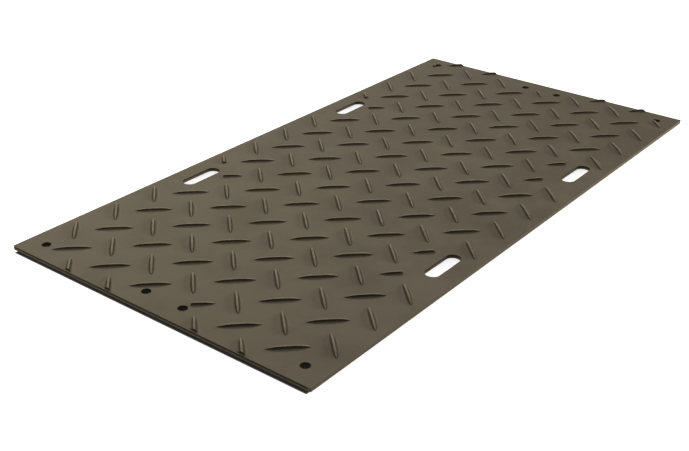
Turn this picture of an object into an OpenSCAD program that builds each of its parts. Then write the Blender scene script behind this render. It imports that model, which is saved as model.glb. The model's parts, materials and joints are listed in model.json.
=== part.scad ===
// Ground protection mat: one moulded plastic sheet with raised cleats on both faces,
// eight link holes along its two short edges and four hand slots along its long edges.
// Millimetres. X runs along the length, Y across, Z up from the crests it stands on.

/* [Sheet] */
// Length of the sheet
sheet_l = 2440; // [1600:10:3660]
// Width of the sheet
sheet_w = 1220; // [800:10:1830]
// Thickness of the plain sheet between its cleats
sheet_t = 12.7; // [6:0.1:25]
// Radius of the sheet's corners
corner_r = 18; // [5:1:40]

/* [Cleats] */
// Spacing of the cleats that lean the same way, along and across the sheet
cleat_pitch = 178.9; // [150:0.1:260]
// Shift of the whole cleat pattern along the sheet
shift_x = 6.1; // [-40:0.1:40]
// Shift of the whole cleat pattern across the sheet
shift_y = 3.3; // [-40:0.1:40]
// Length of a cleat from tip to tip
cleat_l = 131; // [90:1:150]
// Width of a cleat at its middle, at the face of the sheet
cleat_w = 26; // [16:1:34]
// Height of a cleat above the face of the sheet
cleat_h = 8; // [3:0.1:10]
// Width of the crest at the middle of a cleat
crest_w = 7; // [3:0.5:12]
// Length of the level part of the crest, which then slopes down to both tips
crest_l = 44; // [20:1:80]
// Plain border without cleats along the sheet's edges
border = 6; // [4:1:30]
// From the middle of a shortened cleat to its square end
stub_reach = 13; // [5:1:30]
// A cleat whose axis comes nearer than this to a hole or slot is shortened
clear_gap = 20; // [10:1:40]

/* [Link holes] */
// Diameter of a link hole
hole_d = 31.8; // [12:0.1:40]
// From a short edge to the centres of its holes
hole_inset_x = 73; // [50:1:110]
// From a long edge to the centres of the corner holes
hole_inset_y = 76; // [50:1:110]
// Between the centres of the two middle holes of a short edge
mid_hole_gap = 152; // [100:1:220]
// Plain ring kept around a hole
hole_ring = 3; // [1:1:20]
// Reach of the plain pad beside a hole, along the short edge
pad_reach = 60; // [30:1:80]

/* [Hand slots] */
// Length of a hand slot from end to end
slot_l = 170; // [120:1:220]
// Width of a hand slot
slot_w = 51; // [35:1:70]
// Between the centres of the two slots of a long edge
slot_gap = 899; // [500:1:1300]
// From a long edge to the centre line of its slots
slot_inset = 90; // [65:1:120]

/* [Hidden] */
$fn = 64;
// A cut runs this far past the faces it opens
past = 1;
// How deep a cleat's root reaches into the sheet
root = sheet_t / 4;
// The flanks of a cleat are two cones that meet at its tips
flank_run = (cleat_w - crest_w) / 2;
plan_r = (cleat_l * cleat_l / 4 + cleat_w * cleat_w / 4) / cleat_w;
flank_offset = plan_r - cleat_w / 2;
// Height of the long profile above a cleat's tips
tip_h = cleat_h / 10;
top_z = cleat_h + sheet_t;
hole_x = sheet_l / 2 - hole_inset_x;
hole_y = sheet_w / 2 - hole_inset_y;
slot_y = sheet_w / 2 - slot_inset;
hole_ys = [-hole_y, -mid_hole_gap / 2, mid_hole_gap / 2, hole_y];
slot_end = (slot_l - slot_w) / 2;
// Cleats leaning back lie a quarter pitch ahead of those leaning forward, half a row apart
cols = ceil(sheet_l / cleat_pitch / 2) + 1;
rows = ceil(sheet_w / cleat_pitch / 2) + 1;
field_x = sheet_l / 2 - border;
field_y = sheet_w / 2 - border;
// A cleat that crosses a short edge is kept only between the pads of the link holes
pad_in = mid_hole_gap / 2 + pad_reach;
pad_out = hole_y - pad_reach;
half_reach = cleat_l * cos(45) / 2;

function on_field(x, y) = abs(x) < field_x && abs(y) + half_reach < field_y;
function off_pads(x, y) = abs(x) + half_reach < field_x || (abs(y) > pad_in && abs(y) < pad_out);
function slot_span(x) = max(0, abs(abs(x) - slot_gap / 2) - slot_end);
function slot_rim(x, y) = norm([slot_span(x), abs(y) - slot_y]) - slot_w / 2;
function hole_rim(x, y, row_y) = norm([abs(x) - hole_x, abs(y) - row_y]) - hole_d / 2;
function holes_rim(x, y) = min(hole_rim(x, y, hole_y), hole_rim(x, y, mid_hole_gap / 2));
function rim_gap(x, y) = min(slot_rim(x, y), holes_rim(x, y));
function kept(x, y) = on_field(x, y) && off_pads(x, y) && rim_gap(x, y) > 0;
// Half a cleat is looked at in steps, out to the tip that lies at (dx, dy) from its middle
steps = [0.25, 0.5, 0.75, 1];
function nearest(x, y, dx, dy) = min([for (k = steps) rim_gap(x + dx * k, y + dy * k)]);
function reach(x, y, dx, dy) = nearest(x, y, dx, dy) < clear_gap ? stub_reach : cleat_l;

// Outline of the hand slots
module slot_outline() {
    for (sx = [-1, 1], sy = [-1, 1])
        translate([sx * slot_gap / 2, sy * slot_y]) {
            square([2 * slot_end, slot_w], center = true);
            for (s = [-1, 1])
                translate([s * slot_end, 0]) circle(d = slot_w);
        }
}

// Outline of every link hole, grown by a ring
module hole_outline(ring) {
    for (sx = [-1, 1], y = hole_ys)
        translate([sx * hole_x, y]) circle(d = hole_d + 2 * ring);
}

// Outline of the sheet with its rounded corners
module sheet_outline() {
    square([sheet_l - 2 * corner_r, sheet_w], center = true);
    square([sheet_l, sheet_w - 2 * corner_r], center = true);
    for (sx = [-1, 1], sy = [-1, 1])
        translate([sx * (sheet_l / 2 - corner_r), sy * (sheet_w / 2 - corner_r)]) circle(r = corner_r);
}

// Long profile of a cleat: level in the middle, then sloping down to just above its tips
module profile() {
    tip = cleat_l / 2;
    polygon([
        [-cleat_l, -root], [cleat_l, -root], [cleat_l, tip_h], [tip, tip_h],
        [crest_l / 2, cleat_h], [-crest_l / 2, cleat_h], [-tip, tip_h], [-cleat_l, tip_h]
    ]);
}

// One cleat along X, its root below the face at z = 0: two cones that lean together under the profile
module cleat() {
    slope = flank_run / cleat_h;
    intersection() {
        intersection_for (s = [-1, 1])
            translate([0, s * flank_offset, -root])
                cylinder(h = cleat_h + root, r1 = plan_r + root * slope, r2 = plan_r - flank_run);
        rotate([90, 0, 0]) linear_extrude(2 * cleat_w, center = true) profile();
    }
}

// A cleat at (x, y) that leans one way or the other
module leaning(x, y, lean) {
    translate([x, y]) rotate(lean * 45) children();
}

// The same, cut square where it would come too near an opening, and clear of border and holes
module cut_cleat(x, y, lean, back, ahead) {
    difference() {
        intersection() {
            leaning(x, y, lean) cleat();
            leaning(x, y, lean) translate([-back, -cleat_w, -root]) cube([back + ahead, 2 * cleat_w, root + cleat_h]);
            translate([-field_x, -field_y, -root]) cube([2 * field_x, 2 * field_y, root + cleat_h]);
        }
        translate([0, 0, -root - past]) linear_extrude(root + cleat_h + 2 * past) hole_outline(hole_ring);
    }
}

module placed_cleat(x, y, lean) {
    back = reach(x, y, -half_reach, -lean * half_reach);
    ahead = reach(x, y, half_reach, lean * half_reach);
    if (min(back, ahead) == cleat_l && abs(x) + half_reach < field_x) leaning(x, y, lean) cleat();
    else cut_cleat(x, y, lean, back, ahead);
}

// All cleats of one face, leaning both ways
module cleat_field() {
    for (i = [-cols : cols], j = [-rows : rows]) {
        back = [(i + 0.75) * cleat_pitch + shift_x, (j + 0.5) * cleat_pitch + shift_y];
        ahead = [(i + 0.25) * cleat_pitch + shift_x, j * cleat_pitch + shift_y];
        if (kept(back[0], back[1])) placed_cleat(back[0], back[1], -1);
        if (kept(ahead[0], ahead[1])) placed_cleat(ahead[0], ahead[1], 1);
    }
}

// The whole mat, moulded in one piece
module mat() {
    color([0.24, 0.23, 0.21]) {
        translate([0, 0, cleat_h]) linear_extrude(sheet_t)
            difference() {
                sheet_outline();
                slot_outline();
                hole_outline(0);
            }
        translate([0, 0, top_z]) cleat_field();
        translate([0, 0, cleat_h]) mirror([0, 0, 1]) cleat_field();
    }
}

mat();
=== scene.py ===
import json
import math

import bmesh
import bpy
from bpy.props import FloatProperty, FloatVectorProperty, IntProperty, PointerProperty
from mathutils import Matrix, Vector


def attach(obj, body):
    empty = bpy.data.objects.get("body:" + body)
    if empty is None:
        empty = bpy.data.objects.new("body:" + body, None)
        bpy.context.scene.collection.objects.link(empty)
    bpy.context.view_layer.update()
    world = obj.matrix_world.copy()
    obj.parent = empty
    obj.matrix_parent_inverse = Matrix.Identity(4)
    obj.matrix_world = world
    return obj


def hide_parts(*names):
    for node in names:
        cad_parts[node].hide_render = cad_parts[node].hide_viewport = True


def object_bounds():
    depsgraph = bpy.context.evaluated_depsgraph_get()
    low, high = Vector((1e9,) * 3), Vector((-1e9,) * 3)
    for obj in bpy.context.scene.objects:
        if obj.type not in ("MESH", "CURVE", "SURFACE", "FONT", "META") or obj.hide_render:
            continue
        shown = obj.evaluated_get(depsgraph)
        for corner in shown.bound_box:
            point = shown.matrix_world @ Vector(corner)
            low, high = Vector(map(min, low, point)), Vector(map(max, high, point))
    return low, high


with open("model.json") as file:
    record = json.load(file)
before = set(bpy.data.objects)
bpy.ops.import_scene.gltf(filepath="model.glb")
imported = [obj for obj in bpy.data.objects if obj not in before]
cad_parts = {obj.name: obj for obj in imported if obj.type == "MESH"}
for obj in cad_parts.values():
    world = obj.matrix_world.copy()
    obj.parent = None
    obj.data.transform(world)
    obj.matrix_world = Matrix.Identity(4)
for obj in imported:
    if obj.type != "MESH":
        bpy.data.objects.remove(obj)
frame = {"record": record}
cad_low, cad_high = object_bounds()

bl_info = {
    "name": "Ground protection mat",
    "version": (1, 0, 0),
    "blender": (4, 5, 0),
    "location": "3D View > Sidebar > Ground Mat",
    "description": "Moulds a cleated ground mat in worn black plastic and sets it on a pale floor",
    "category": "Mesh",
}

MM = 0.001
PLASTIC = "worn_black_polyethylene"
BODY = "root"
NODE = "mat"


def mount_dims(name):
    """The stated sizes of one of the frame's mounts, in millimetres."""
    for mount in frame["record"]["mounts"]:
        if mount["name"] == name:
            return mount["dims"]
    raise KeyError(name)


# Sizes that the frame gives
CORNER_HOLES = mount_dims("corner_link_holes")
MIDDLE_HOLES = mount_dims("middle_link_holes")
HALF_L = cad_high[0]
HALF_W = cad_high[1]
TOTAL_T = cad_high[2] - cad_low[2]
MIDDLE_Z = (cad_low[2] + cad_high[2]) / 2
HOLE_R = CORNER_HOLES["hole_r_mm"] * MM
HOLE_X = CORNER_HOLES["spacing_x_mm"] * MM / 2
HOLE_Y = CORNER_HOLES["spacing_y_mm"] * MM / 2
MIDDLE_Y = MIDDLE_HOLES["spacing_y_mm"] * MM / 2

# Facets of the sheet's corners, slot ends, link holes and eased edges
CORNER_FACETS = 12
SLOT_END_FACETS = 14
HOLE_FACETS = 36
EASE_FACETS = 3
# A slot's end is rounded by just less than half its width, so that its two corners don't meet too soon
SLOT_END_SHARE = 0.9999
# Edges of the slab that turn by more than this are eased
RIM_ANGLE = math.radians(60)
# Faces whose normal points at least this far up or down are shaded flat
FACE_UP = 0.99
# Points nearer than this are merged, on the sheet and on a cleat
SHEET_MERGE = 0.02 * MM
CLEAT_MERGE = 0.05 * MM
# Points nearer to a cutting plane than this, in metres, lie on it
CUT_MERGE = 1e-7

# A cleat leans this far from the length of the sheet, to one side or the other
LEAN = math.radians(45)
# For each way of leaning: where its cleats start, in pitches along and across, and the side they lean to
WAYS = ((0.75, 0.5, -1), (0.25, 0.0, 1))
# Steps in which half a cleat is looked at for openings nearby
LOOKS = 4
# Rows of facets across a cleat
FACET_ROWS = 7
# Rows of points on one side, from the crest outwards: how far towards the foot, and share of the height
FLANK = {1: (0.0, 1.0), 3: (0.2, 0.58), 5: (0.56, 0.16), 7: (1.0, 0.0)}
# Powers that shape the narrowing of the crest, the narrowing of the foot and the arch of the back
CREST_POWER = 8
FOOT_POWER = 1.5
BACK_POWER = 3.6
# Edges of a cleat that turn by more than this are creases
CREASE_ANGLE = math.radians(35)
# What is left of a shortened cleat's width and height at its nose
NOSE_WIDTH = 0.5
NOSE_HEIGHT = 0.6

# Scale, detail and roughness of the patterns in the plastic
BLOTCHES = (4.5, 2.0, 0.55)
RUBS = (34.0, 6.0, 0.62)
PEBBLE = (520.0, 2.0, 0.55)
WAVES = (9.0, 1.0, 0.55)
# Shares of the blotches and rubs in the dust tone, and how that tone grows with each metre along and
# across: along, it is a painted gradient of light that makes the left end paler; across, it grows a little
# towards the back edge
DUST_BLOTCHES = 0.75
DUST_RUBS = 0.25
PAINTED_LIGHT_ALONG = -0.17
TONE_ACROSS = 0.02
# Tones of the dust and the painted light between which the plastic turns from dark to brown-grey
DUST_AND_LIGHT_TONES = (0.26, 0.74)
# Flatness, 1 where the skin lies level, between which walls, faces and crests begin; steep flanks below the
# faces' range get painted shade
WALL_FLATNESS = (0.1, 0.4)
FACE_FLATNESS = (0.76, 0.97)
CREST_FLATNESS = (0.88, 0.95)
# Heights above the middle of the sheet between which a wall turns from the lighter brown-grey to painted
# shade
WALL_SHADE = (-1.0 * MM, 2.0 * MM)
# Distances from a long side between which the walls lose their painted shade, so that the long sides stay
# lighter
SIDE_UNSHADED = (12 * MM, 6 * MM)
# Heights above the face between which the crests begin
CREST_RISE = (1.0 * MM, 2.6 * MM)
# Tones of the rubs between which a crest's wear grows, and its least share, which is a painted highlight
# along every crest
SCUFF_RUBS = (0.4, 0.62)
HIGHLIGHT_LEAST = 0.5
# Tones of the dust and the roughness that they give
ROUGH_TONES = (0.3, 0.7)
ROUGHNESS = (0.64, 0.76)
PLASTIC_IOR = 1.5
PLASTIC_SPECULAR = 0.05
# Strength and depth of the pebbled skin and of the slow waves in the sheet
PEBBLE_BUMP = (0.25, 0.25 * MM)
WAVE_BUMP = (0.35, 2.0 * MM)
# The colour sockets of a mix node, whose sockets for numbers and colours share their names
MIX_FIRST = 6
MIX_SECOND = 7
MIX_RESULT = 2

FLOOR_RADIUS = 30.0
FLOOR_FACETS = 64
# The floor's shaded part: its soft edge, its reach past the ends and how far it stops short of the sides
SHADE_SOFT = 3 * MM
SHADE_PAST = 4 * MM
SHADE_SHORT = 10 * MM
# Pale floor under a hand slot, past its ends and past its sides
SLOT_PALE_ALONG = 30 * MM
SLOT_PALE_ACROSS = 25 * MM
# Glow of the floor to the eye, under the sheet, where it sets the level of the painted shadow, and in the
# open, and the world's fill light
SHADE_GLOW = 0.01
OPEN_GLOW = 0.8
FILL = 0.22
WHITE = (1, 1, 1, 1)

# Each lamp's name, place, aim, two sides in metres and power in watts
LAMPS = (
    ("back_softbox", (6.6, 6.6, 6.0), (0, 0, 0), 4.8, 3.2, 770),
    ("left_softbox", (-1.5, 2.6, 2.2), (-1.3, 0.4, 0), 1.2, 1.2, 56),
    ("right_softbox", (5.5, -4.2, 1.5), (0.4, -0.5, 0), 2.4, 1.6, 470),
)

# The camera: focal length and sensor in millimetres, sideways shift, view depth, place, and turn in degrees
FOCAL_LENGTH = 57.758
SENSOR = 36.0
SIDE_SHIFT = 0.0382
VIEW_DEPTH = 100.0
CAMERA_PLACE = (-3.0579, -2.0730, 1.7034)
CAMERA_TURN = (62.784, -0.685, -51.484)


def length(name, description, millimetres):
    """A property that holds one length, given here in millimetres."""
    return FloatProperty(
        name=name,
        description=description,
        default=millimetres * MM,
        subtype="DISTANCE",
        unit="LENGTH",
    )


def colour(name, description, value):
    """A property that holds one colour."""
    return FloatVectorProperty(
        name=name, description=description, default=value, subtype="COLOR", size=3, min=0.0, max=1.0
    )


class GroundMatSizes(bpy.types.PropertyGroup):
    """Sizes of the moulded mat. Length, width, total thickness and link holes come from the frame."""

    sheet_thickness: length("Sheet thickness", "Thickness of the plain sheet between its cleats", 12.7)
    corner_radius: length("Corner radius", "Radius of the corners of the sheet", 6)
    edge_ease: length("Eased edge", "Rounding of the sheet's edges and of the rims of its openings", 1.8)
    cleat_pitch: length("Cleat pitch", "Spacing of the cleats that lean the same way", 178.9)
    shift_x: length("Shift along", "Shift of the whole cleat pattern along the sheet", 6.1)
    shift_y: length("Shift across", "Shift of the whole cleat pattern across the sheet", 3.3)
    cleat_length: length("Cleat length", "Length of a cleat from tip to tip", 131)
    cleat_width: length("Cleat width", "Width of a cleat at its middle, at the face of the sheet", 26)
    foot_run: length("Foot run-out", "How far the soft foot of a cleat runs out past its width", 5)
    foot_sink: length("Foot sink", "How deep the thin rim of a cleat's foot lies in the sheet", 0.2)
    crest_width: length("Crest width", "Width of the crest of a cleat", 6)
    border: length("Plain border", "Border without cleats along the edges of the sheet", 6)
    stub_reach: length("Stub reach", "From the middle of a shortened cleat to its blunt nose", 9)
    nose: length("Nose", "Length over which a shortened cleat narrows to its nose", 6)
    hole_gap: length("Clear of holes", "A cleat that comes nearer to a link hole is shortened", 20)
    slot_clear: length("Clear of slots", "A cleat that comes nearer to a hand slot is shortened", 26)
    hole_ring: length("Ring round a hole", "Plain ring kept free of cleats around a link hole", 3)
    pad_reach: length("Pad beside a hole", "Reach of the plain pad beside a link hole", 60)
    slot_length: length("Slot length", "Length of a hand slot from end to end", 170)
    slot_width: length("Slot width", "Width of a hand slot", 51)
    slot_gap: length("Slot spacing", "Between the centres of the two slots of a long edge", 899)
    slot_inset: length("Slot inset", "From a long edge to the centre line of its slots", 90)
    cleat_stations: IntProperty(
        name="Cleat stations", description="Facets along one cleat", default=10, min=4, max=16
    )


class GroundMatFinish(bpy.types.PropertyGroup):
    """Colours of the worn black plastic and of the stage."""

    plastic_dark: colour("Plastic", "Black plastic under thin dust", (0.076, 0.066, 0.046))
    # Brown-grey of thick dust, also reached at the painted-light left end and kept on the walls below their
    # painted shade
    plastic_warm: colour("Dusty plastic", "Brown-grey where the dust lies thick", (0.128, 0.113, 0.085))
    # Black plastic, used as painted shade on the steep flanks and on the upper half of the walls
    plastic_shaded: colour("Clean plastic", "Black of flanks and clean walls", (0.042, 0.031, 0.02))
    # Pale crests: partly rubbed wear, partly a painted highlight
    scuff_and_highlight: colour("Scuffed crest", "Tone of the rubbed crests of the cleats", (0.187, 0.17, 0.134))
    floor: colour("Floor", "Colour of the open floor", (0.88, 0.88, 0.88))
    # Painted shadow: the dark colour of the floor under the sheet
    shade: colour("Floor under the mat", "Colour of the floor that the sheet covers", (0.1, 0.09, 0.08))
    lamp: colour("Lamps", "Colour of the lamps' light", (1.0, 0.925, 0.8))


def sizes():
    """The mat's sizes, as set in the scene."""
    return bpy.context.scene.ground_mat_sizes


def finish():
    """The colours, as set in the scene."""
    return bpy.context.scene.ground_mat_finish


def cleat_height():
    """The frame's whole thickness less the sheet, shared by its two faces."""
    return (TOTAL_T - sizes().sheet_thickness) / 2


def new_piece(name, bm, material):
    """Turn a bmesh into a finished piece that stands for the CAD's mat."""
    mesh = bpy.data.meshes.new(name)
    bm.to_mesh(mesh)
    bm.free()
    piece = bpy.data.objects.new(name, mesh)
    bpy.context.scene.collection.objects.link(piece)
    mesh.materials.append(material)
    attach(piece, BODY)
    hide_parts(NODE)
    return piece


# Where the openings are


def slot_centres():
    """Centres of the four hand slots, in plan."""
    s = sizes()
    return [
        Vector((sx * s.slot_gap / 2, sy * (HALF_W - s.slot_inset), 0))
        for sx in (-1, 1)
        for sy in (-1, 1)
    ]


def hole_centres():
    """Centres of the eight link holes, in plan."""
    return [
        Vector((sx * HOLE_X, y, 0)) for sx in (-1, 1) for y in (-HOLE_Y, -MIDDLE_Y, MIDDLE_Y, HOLE_Y)
    ]


def slot_rim(point):
    """Distance of a point from the nearest hand slot's rim."""
    s = sizes()
    straight = (s.slot_length - s.slot_width) / 2
    span = max(0.0, abs(abs(point.x) - s.slot_gap / 2) - straight)
    return math.hypot(span, abs(point.y) - (HALF_W - s.slot_inset)) - s.slot_width / 2


def hole_rim(point):
    """Distance of a point from the nearest link hole's rim."""
    return min((point - centre).length for centre in hole_centres()) - HOLE_R


def is_tight(point):
    """Whether a point of a cleat lies too near an opening for the cleat to run on."""
    return slot_rim(point) < sizes().slot_clear or hole_rim(point) < sizes().hole_gap


# The plain sheet


def rounded_plate(bm, centre, size_x, size_y, radius, facets):
    """A flat rectangle in plan with round corners."""
    made = bmesh.ops.create_grid(bm, x_segments=1, y_segments=1, size=0.5)["verts"]
    bmesh.ops.scale(bm, vec=(size_x, size_y, 1), verts=made)
    bmesh.ops.translate(bm, vec=centre, verts=made)
    bmesh.ops.bevel(
        bm,
        geom=made,
        offset=radius,
        offset_type="OFFSET",
        segments=facets,
        profile=0.5,
        affect="VERTICES",
        material=-1,
    )


def sheet_outlines(bm):
    """The loops of the sheet, its hand slots and its link holes, at z = 0, with no faces."""
    s = sizes()
    rounded_plate(bm, Vector(), 2 * HALF_L, 2 * HALF_W, s.corner_radius, CORNER_FACETS)
    end_radius = s.slot_width / 2 * SLOT_END_SHARE
    for centre in slot_centres():
        rounded_plate(bm, centre, s.slot_length, s.slot_width, end_radius, SLOT_END_FACETS)
    bmesh.ops.delete(bm, geom=bm.faces[:], context="FACES_ONLY")
    for centre in hole_centres():
        place = Matrix.Translation(centre)
        bmesh.ops.create_circle(bm, segments=HOLE_FACETS, radius=HOLE_R, cap_ends=False, matrix=place)
    bmesh.ops.remove_doubles(bm, verts=bm.verts[:], dist=SHEET_MERGE)


def build_sheet():
    """The slab with its openings, its edges eased all round."""
    s = sizes()
    bm = bmesh.new()
    sheet_outlines(bm)
    bmesh.ops.triangle_fill(
        bm, edges=bm.edges[:], use_beauty=True, use_dissolve=False, normal=(0, 0, 1)
    )
    bmesh.ops.translate(bm, vec=(0, 0, cad_low[2] + cleat_height()), verts=bm.verts[:])
    made = bmesh.ops.extrude_face_region(bm, geom=bm.faces[:])["geom"]
    raised = [v for v in made if isinstance(v, bmesh.types.BMVert)]
    bmesh.ops.translate(bm, vec=(0, 0, s.sheet_thickness), verts=raised)
    bmesh.ops.recalc_face_normals(bm, faces=bm.faces[:])
    rims = [e for e in bm.edges if e.calc_face_angle(0) > RIM_ANGLE]
    bmesh.ops.bevel(
        bm,
        geom=rims,
        offset=s.edge_ease,
        offset_type="OFFSET",
        segments=EASE_FACETS,
        profile=0.5,
        affect="EDGES",
        clamp_overlap=True,
        material=-1,
    )
    for face in bm.faces:
        face.smooth = abs(face.normal.z) < FACE_UP
    return bm


# The cleats


def half_reach():
    """How far half a leaning cleat reaches along the sheet, and across it."""
    return sizes().cleat_length * math.cos(LEAN) / 2


def is_kept(middle):
    """Whether a cleat has its middle on the sheet, clear of the plain pads and the openings."""
    s = sizes()
    crosses_end = abs(middle.x) + half_reach() >= HALF_L - s.border
    between_pads = MIDDLE_Y + s.pad_reach < abs(middle.y) < HOLE_Y - s.pad_reach
    return (
        abs(middle.x) < HALF_L - s.border
        and abs(middle.y) + half_reach() < HALF_W - s.border
        and (between_pads or not crosses_end)
        and min(slot_rim(middle), hole_rim(middle)) > 0
    )


def cleat_places():
    """Middle and lean of every cleat that the sheet has room for."""
    s = sizes()
    columns = math.ceil(HALF_L / s.cleat_pitch) + 1
    rows = math.ceil(HALF_W / s.cleat_pitch) + 1
    places = []
    for i in range(-columns, columns + 1):
        for j in range(-rows, rows + 1):
            for along, across, lean in WAYS:
                x = (i + along) * s.cleat_pitch + s.shift_x
                y = (j + across) * s.cleat_pitch + s.shift_y
                if is_kept(Vector((x, y, 0))):
                    places.append((Vector((x, y, 0)), lean))
    return places


def is_short(middle, towards):
    """Whether half a cleat comes too near an opening, so that it has to be shortened."""
    points = [middle + towards * sizes().cleat_length / 2 * k / LOOKS for k in range(1, LOOKS + 1)]
    return any(is_tight(point) for point in points)


def cut(bm, point, outwards):
    """Cut a cleat off square at a plane, close its end and give the points of the end."""
    geom = bm.verts[:] + bm.edges[:] + bm.faces[:]
    made = bmesh.ops.bisect_plane(
        bm, geom=geom, dist=CUT_MERGE, plane_co=point, plane_no=outwards, clear_outer=True
    )["geom_cut"]
    edges = [e for e in made if isinstance(e, bmesh.types.BMEdge) and e.is_boundary]
    if not edges:
        return []
    for end in bmesh.ops.contextual_create(bm, geom=edges)["faces"]:
        end.smooth = False
    return list({v for e in edges for v in e.verts})


def shorten(bm, middle, outwards):
    """Cut a cleat short and draw its end in to a low, narrow nose."""
    s = sizes()
    geom = bm.verts[:] + bm.edges[:] + bm.faces[:]
    shoulder = middle + outwards * (s.stub_reach - s.nose)
    bmesh.ops.bisect_plane(bm, geom=geom, dist=CUT_MERGE, plane_co=shoulder, plane_no=outwards)
    tip = middle + outwards * s.stub_reach
    for v in cut(bm, tip, outwards):
        v.co.xy = tip.xy + (v.co.xy - tip.xy) * NOSE_WIDTH
        v.co.z = v.co.z * NOSE_HEIGHT if v.co.z > 0 else v.co.z


def cleat_blank():
    """One whole cleat along X: narrow crest, arched back, hollow flanks and a foot just below z = 0."""
    s = sizes()
    height = cleat_height() + s.foot_sink
    tip = s.cleat_length / 2
    crest_half = s.crest_width / 2
    foot_half = s.cleat_width / 2 + s.foot_run
    bm = bmesh.new()
    made = bmesh.ops.create_grid(bm, x_segments=s.cleat_stations, y_segments=FACET_ROWS, size=1.0)
    for v in made["verts"]:
        row = round(v.co.y * FACET_ROWS)
        out, share = FLANK[abs(row)]
        turn = v.co.x * math.pi / 2
        along = math.sin(turn)
        crest = crest_half * (1 - along ** CREST_POWER)
        foot = foot_half * math.cos(turn) ** FOOT_POWER
        across = crest + max(0.0, foot - crest) * out
        arch = 1 - abs(along) ** BACK_POWER
        v.co = (along * tip, math.copysign(across, row), share * height * arch - s.foot_sink)
    bmesh.ops.remove_doubles(bm, verts=bm.verts[:], dist=CLEAT_MERGE)
    bmesh.ops.contextual_create(bm, geom=[e for e in bm.edges if e.is_boundary])
    bmesh.ops.recalc_face_normals(bm, faces=bm.faces[:])
    for face in bm.faces:
        face.smooth = face.normal.z > 0
    for edge in bm.edges:
        edge.smooth = edge.calc_face_angle(0) < CREASE_ANGLE
    return bm


def finished_cleat(blank, middle, lean):
    """The blank set in its place, cut at the border and short of any opening."""
    s = sizes()
    bm = blank.copy()
    towards = Vector((1, lean, 0)).normalized()
    leaning = Matrix.Rotation(LEAN * lean, 3, "Z")
    bmesh.ops.rotate(bm, cent=(0, 0, 0), matrix=leaning, verts=bm.verts[:])
    bmesh.ops.translate(bm, vec=middle, verts=bm.verts[:])
    for sign in (-1, 1):
        if is_short(middle, sign * towards):
            shorten(bm, middle, sign * towards)
        if abs(middle.x) + half_reach() > HALF_L - s.border and middle.x * sign > 0:
            cut(bm, Vector((sign * (HALF_L - s.border), 0, 0)), Vector((sign, 0, 0)))
    for centre in hole_centres():
        away = centre - middle
        if away.length < HOLE_R + s.hole_ring + s.stub_reach:
            outwards = away.normalized()
            cut(bm, centre - outwards * (HOLE_R + s.hole_ring), outwards)
    return bm


def build_tread():
    """Every cleat of the upper face, standing on z = 0."""
    blank = cleat_blank()
    single = bpy.data.meshes.new("single_cleat")
    joined = bmesh.new()
    for middle, lean in cleat_places():
        bm = finished_cleat(blank, middle, lean)
        bm.to_mesh(single)
        bm.free()
        joined.from_mesh(single)
    blank.free()
    bpy.data.meshes.remove(single)
    return joined


# Nodes for the materials


def noise(tree, place, pattern):
    """A noise of a given scale, detail and roughness, from 0 to 1."""
    made = tree.nodes.new("ShaderNodeTexNoise")
    for name, value in zip(("Scale", "Detail", "Roughness"), pattern):
        made.inputs[name].default_value = value
    tree.links.new(place, made.inputs["Vector"])
    return made.outputs["Fac"]


def ranged(tree, value, start, end=(0.0, 1.0)):
    """A value moved softly from one range to another, and held at its ends."""
    made = tree.nodes.new("ShaderNodeMapRange")
    made.interpolation_type = "SMOOTHSTEP"
    for key, number in zip(("From Min", "From Max", "To Min", "To Max"), (*start, *end)):
        made.inputs[key].default_value = number
    tree.links.new(value, made.inputs["Value"])
    return made.outputs["Result"]


def feed(tree, value, socket):
    """Link a socket's value, or set a plain number or colour."""
    if isinstance(value, bpy.types.NodeSocket):
        tree.links.new(value, socket)
    elif isinstance(value, float):
        socket.default_value = value
    else:
        socket.default_value = (*value, 1)


def mixed(tree, factor, first, second):
    """The first colour turning to the second by a factor. Either may be a socket or a plain colour."""
    made = tree.nodes.new("ShaderNodeMix")
    made.data_type = "RGBA"
    tree.links.new(factor, made.inputs["Factor"])
    feed(tree, first, made.inputs[MIX_FIRST])
    feed(tree, second, made.inputs[MIX_SECOND])
    return made.outputs[MIX_RESULT]


def maths(tree, operation, first, second=0.0):
    """One sum. Either term may be a socket or a plain number."""
    made = tree.nodes.new("ShaderNodeMath")
    made.operation = operation
    feed(tree, first, made.inputs[0])
    feed(tree, second, made.inputs[1])
    return made.outputs[0]


def parted(tree, vector):
    """The three parts of a vector."""
    made = tree.nodes.new("ShaderNodeSeparateXYZ")
    tree.links.new(vector, made.inputs[0])
    return made.outputs["X"], made.outputs["Y"], made.outputs["Z"]


def bump(tree, height, strength, depth):
    """A bump of a given strength and depth from a height."""
    made = tree.nodes.new("ShaderNodeBump")
    made.inputs["Strength"].default_value = strength
    made.inputs["Distance"].default_value = depth
    tree.links.new(height, made.inputs["Height"])
    return made


def object_place(tree):
    """The place of a point on its piece."""
    return tree.nodes.new("ShaderNodeTexCoord").outputs["Object"]


# The worn plastic


def dust_and_light_tone(tree, place, rubs):
    """How thick the dust lies, in soft blotches, with a painted gradient of light that makes the left end
    paler, and a little more tone towards the back edge.
    """
    x, y, _ = parted(tree, place)
    blotches = maths(tree, "MULTIPLY", noise(tree, place, BLOTCHES), DUST_BLOTCHES)
    tone = maths(tree, "ADD", blotches, maths(tree, "MULTIPLY", rubs, DUST_RUBS))
    # Painted light: the tone rises towards the left end
    tone = maths(tree, "ADD", tone, maths(tree, "MULTIPLY", x, PAINTED_LIGHT_ALONG))
    return maths(tree, "ADD", tone, maths(tree, "MULTIPLY", y, TONE_ACROSS))


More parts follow.
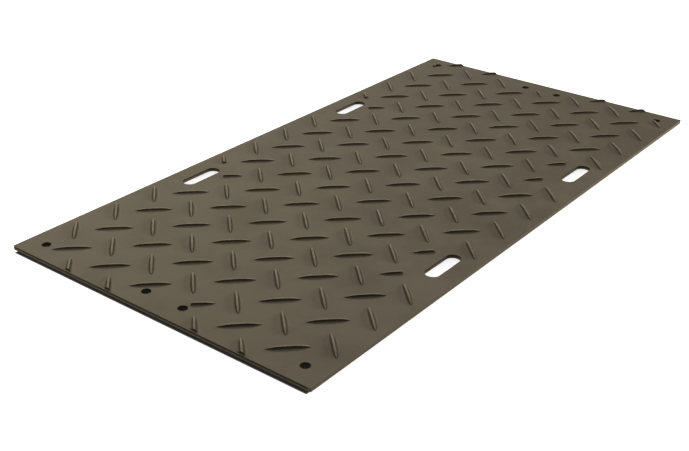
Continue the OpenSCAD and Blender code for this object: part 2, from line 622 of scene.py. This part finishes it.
def wall_painted_shade(tree, place):
    """Painted shade on the walls: darker in their upper half and lighter brown-grey below, but lighter all
    over along the two long sides.
    """
    _, y, z = parted(tree, place)
    low, high = WALL_SHADE
    upper = ranged(tree, z, (MIDDLE_Z + low, MIDDLE_Z + high))
    outer, inner = SIDE_UNSHADED
    aside = maths(tree, "ABSOLUTE", y)
    away = ranged(tree, aside, (HALF_W - outer, HALF_W - inner), (1.0, 0.0))
    darkened = maths(tree, "MULTIPLY", upper, away)
    return mixed(tree, darkened, finish().plastic_warm, finish().plastic_shaded)


def scuff_and_highlight_share(tree, place, flatness, rubs):
    """How pale the crests are: partly rubbed wear, partly a painted highlight along every crest."""
    _, _, z = parted(tree, place)
    from_middle = maths(tree, "ABSOLUTE", maths(tree, "SUBTRACT", z, MIDDLE_Z))
    face = sizes().sheet_thickness / 2
    low, high = CREST_RISE
    raised = ranged(tree, from_middle, (face + low, face + high))
    crest = maths(tree, "MULTIPLY", raised, ranged(tree, flatness, CREST_FLATNESS))
    return maths(tree, "MULTIPLY", crest, ranged(tree, rubs, SCUFF_RUBS, (HIGHLIGHT_LEAST, 1.0)))


def plastic():
    """Satin recycled polyethylene, finely pebbled, with blotches of dust and with painted light: a paler
    left end, painted shade on the steep flanks and the walls' upper half, and crests paled partly by wear
    and partly as a painted highlight.
    """
    existing = bpy.data.materials.get(PLASTIC)
    if existing:
        return existing
    look = finish()
    material = bpy.data.materials.new(PLASTIC)
    material.use_nodes = True
    tree = material.node_tree
    shader = tree.nodes["Principled BSDF"]
    place = object_place(tree)
    rubs = noise(tree, place, RUBS)
    tone = dust_and_light_tone(tree, place, rubs)
    # Dust and painted light choose between the dark and the brown-grey plastic
    dust_and_light_colour = mixed(tree, ranged(tree, tone, DUST_AND_LIGHT_TONES), look.plastic_dark, look.plastic_warm)
    _, _, facing_up = parted(tree, tree.nodes.new("ShaderNodeNewGeometry").outputs["Normal"])
    flatness = maths(tree, "ABSOLUTE", facing_up)
    # Painted shade: steep flanks turn black, darker than the level faces
    base = mixed(tree, ranged(tree, flatness, FACE_FLATNESS), look.plastic_shaded, dust_and_light_colour)
    wall = ranged(tree, flatness, WALL_FLATNESS, (1.0, 0.0))
    # Painted shade on the upper half of the walls, but not along the long sides
    base = mixed(tree, wall, base, wall_painted_shade(tree, place))
    # Crests paled partly by wear and partly as a painted highlight
    base = mixed(tree, scuff_and_highlight_share(tree, place, flatness, rubs), base, look.scuff_and_highlight)
    tree.links.new(base, shader.inputs["Base Color"])
    tree.links.new(ranged(tree, tone, ROUGH_TONES, ROUGHNESS), shader.inputs["Roughness"])
    shader.inputs["IOR"].default_value = PLASTIC_IOR
    shader.inputs["Specular IOR Level"].default_value = PLASTIC_SPECULAR
    skin = bump(tree, noise(tree, place, PEBBLE), *PEBBLE_BUMP)
    sag = bump(tree, noise(tree, place, WAVES), *WAVE_BUMP)
    tree.links.new(skin.outputs["Normal"], sag.inputs["Normal"])
    tree.links.new(sag.outputs["Normal"], shader.inputs["Normal"])
    return material


# The stage


def lamp(name, place, aim, size_x, size_y, watts):
    """A soft rectangular lamp that looks at a point."""
    data = bpy.data.lights.new(name, "AREA")
    data.color = finish().lamp
    data.shape = "RECTANGLE"
    data.size = size_x
    data.size_y = size_y
    data.energy = watts
    made = bpy.data.objects.new(name, data)
    made.location = place
    made.rotation_euler = (Vector(aim) - Vector(place)).to_track_quat("-Z", "Y").to_euler()
    bpy.context.scene.collection.objects.link(made)


def seen(tree):
    """1 for what the eye, gloss and glass see, and 0 for the light that falls on things."""
    path = tree.nodes.new("ShaderNodeLightPath")
    shown = maths(tree, "MAXIMUM", path.outputs["Is Camera Ray"], path.outputs["Is Glossy Ray"])
    return maths(tree, "MAXIMUM", shown, path.outputs["Is Transmission Ray"])


def within(tree, value, centre, half):
    """1 where a mirrored coordinate lies within a half width of its centre, and 0 beyond it."""
    away = maths(tree, "SUBTRACT", maths(tree, "ABSOLUTE", value), centre)
    away = maths(tree, "ABSOLUTE", away)
    return ranged(tree, away, (half - SHADE_SOFT, half + SHADE_SOFT), (1.0, 0.0))


def outside_mat(tree):
    """1 on the open floor and under the hand slots, and 0 under the sheet, where the floor's shadow is
    painted.
    """
    s = sizes()
    x, y, _ = parted(tree, object_place(tree))
    sheet_x = within(tree, x, 0.0, HALF_L + SHADE_PAST)
    sheet_y = within(tree, y, 0.0, HALF_W - SHADE_SHORT)
    slot_x = within(tree, x, s.slot_gap / 2, s.slot_length / 2 + SLOT_PALE_ALONG)
    slot_y = within(tree, y, HALF_W - s.slot_inset, s.slot_width / 2 + SLOT_PALE_ACROSS)
    under = maths(tree, "MULTIPLY", sheet_x, sheet_y)
    covered = maths(tree, "SUBTRACT", under, maths(tree, "MULTIPLY", slot_x, slot_y))
    return maths(tree, "SUBTRACT", 1.0, covered)


def floor_material():
    """Matt and white to the eye in the open, with a painted shadow under the sheet: a dark colour and
    almost no glow.
    """
    material = bpy.data.materials.new("pale_floor")
    material.use_nodes = True
    tree = material.node_tree
    tree.nodes.clear()
    matt = tree.nodes.new("ShaderNodeBsdfDiffuse")
    is_open = outside_mat(tree)
    # Painted shadow: the floor turns dark under the sheet
    tree.links.new(mixed(tree, is_open, finish().shade, finish().floor), matt.inputs["Color"])
    glow = tree.nodes.new("ShaderNodeEmission")
    strength = ranged(tree, is_open, (0.0, 1.0), (SHADE_GLOW, OPEN_GLOW))
    tree.links.new(maths(tree, "MULTIPLY", seen(tree), strength), glow.inputs["Strength"])
    both = tree.nodes.new("ShaderNodeAddShader")
    tree.links.new(matt.outputs[0], both.inputs[0])
    tree.links.new(glow.outputs[0], both.inputs[1])
    out = tree.nodes.new("ShaderNodeOutputMaterial")
    tree.links.new(both.outputs[0], out.inputs["Surface"])
    return material


def pale_floor():
    """A wide floor that looks white to the eye and keeps the mat's soft shadow, with a painted shadow under
    the sheet.
    """
    bm = bmesh.new()
    bmesh.ops.create_circle(bm, segments=FLOOR_FACETS, radius=FLOOR_RADIUS, cap_ends=True)
    bmesh.ops.translate(bm, vec=(0, 0, cad_low[2]), verts=bm.verts[:])
    mesh = bpy.data.meshes.new("floor")
    bm.to_mesh(mesh)
    bm.free()
    floor = bpy.data.objects.new("floor", mesh)
    bpy.context.scene.collection.objects.link(floor)
    mesh.materials.append(floor_material())


def studio_world():
    """White to the eye and to gloss all round, and a dim even fill for everything else."""
    world = bpy.data.worlds.new("studio")
    bpy.context.scene.world = world
    world.use_nodes = True
    tree = world.node_tree
    background = tree.nodes["Background"]
    strength = ranged(tree, seen(tree), (0.0, 1.0), (FILL, 1.0))
    tree.links.new(strength, background.inputs["Strength"])
    background.inputs["Color"].default_value = WHITE


def camera():
    """The camera that the photograph was taken with, as solved from the mat's outline and cleats."""
    scene = bpy.context.scene
    data = bpy.data.cameras.new("photo_camera")
    data.lens = FOCAL_LENGTH
    data.sensor_width = SENSOR
    data.shift_x = SIDE_SHIFT
    data.clip_end = VIEW_DEPTH
    made = bpy.data.objects.new("photo_camera", data)
    made.location = CAMERA_PLACE
    made.rotation_euler = [math.radians(angle) for angle in CAMERA_TURN]
    scene.collection.objects.link(made)
    scene.camera = made


class GROUNDMAT_OT_sheet(bpy.types.Operator):
    """Mould the plain sheet with its hand slots and link holes"""

    bl_idname = "groundmat.sheet"
    bl_label = "Sheet"

    def execute(self, context):
        new_piece("mat_sheet", build_sheet(), plastic())
        return {"FINISHED"}


class GROUNDMAT_OT_tread(bpy.types.Operator):
    """Raise the crossed cleats on both faces of the sheet"""

    bl_idname = "groundmat.tread"
    bl_label = "Cleats"

    def execute(self, context):
        top = cad_high[2] - cleat_height()
        bottom = cad_low[2] + cleat_height()
        upper = build_tread()
        lower = upper.copy()
        bmesh.ops.translate(upper, vec=(0, 0, top), verts=upper.verts[:])
        bmesh.ops.scale(lower, vec=(1, 1, -1), verts=lower.verts[:])
        bmesh.ops.reverse_faces(lower, faces=lower.faces[:])
        bmesh.ops.translate(lower, vec=(0, 0, bottom), verts=lower.verts[:])
        new_piece("tread_top", upper, plastic())
        new_piece("tread_under", lower, plastic())
        return {"FINISHED"}


class GROUNDMAT_OT_stage(bpy.types.Operator):
    """Lay the pale floor and set the lamps and the camera"""

    bl_idname = "groundmat.stage"
    bl_label = "Stage"

    def execute(self, context):
        pale_floor()
        studio_world()
        for settings in LAMPS:
            lamp(*settings)
        camera()
        context.scene.view_settings.view_transform = "Standard"
        return {"FINISHED"}


class GROUNDMAT_PT_panel(bpy.types.Panel):
    """Lists the steps that make the mat"""

    bl_idname = "GROUNDMAT_PT_panel"
    bl_label = "Ground Mat"
    bl_space_type = "VIEW_3D"
    bl_region_type = "UI"
    bl_category = "Ground Mat"

    def draw(self, context):
        for step in STEPS:
            self.layout.operator(step.bl_idname)
        for group in (context.scene.ground_mat_sizes, context.scene.ground_mat_finish):
            for name in group.__annotations__:
                self.layout.prop(group, name)


STEPS = (GROUNDMAT_OT_sheet, GROUNDMAT_OT_tread, GROUNDMAT_OT_stage)
CLASSES = (GroundMatSizes, GroundMatFinish, *STEPS, GROUNDMAT_PT_panel)


def register():
    for cls in CLASSES:
        bpy.utils.register_class(cls)
    bpy.types.Scene.ground_mat_sizes = PointerProperty(type=GroundMatSizes)
    bpy.types.Scene.ground_mat_finish = PointerProperty(type=GroundMatFinish)


def unregister():
    del bpy.types.Scene.ground_mat_finish
    del bpy.types.Scene.ground_mat_sizes
    for cls in reversed(CLASSES):
        bpy.utils.unregister_class(cls)


def main():
    register()
    bpy.ops.groundmat.sheet()
    bpy.ops.groundmat.tread()
    bpy.ops.groundmat.stage()


if __name__ == "__main__":
    main()
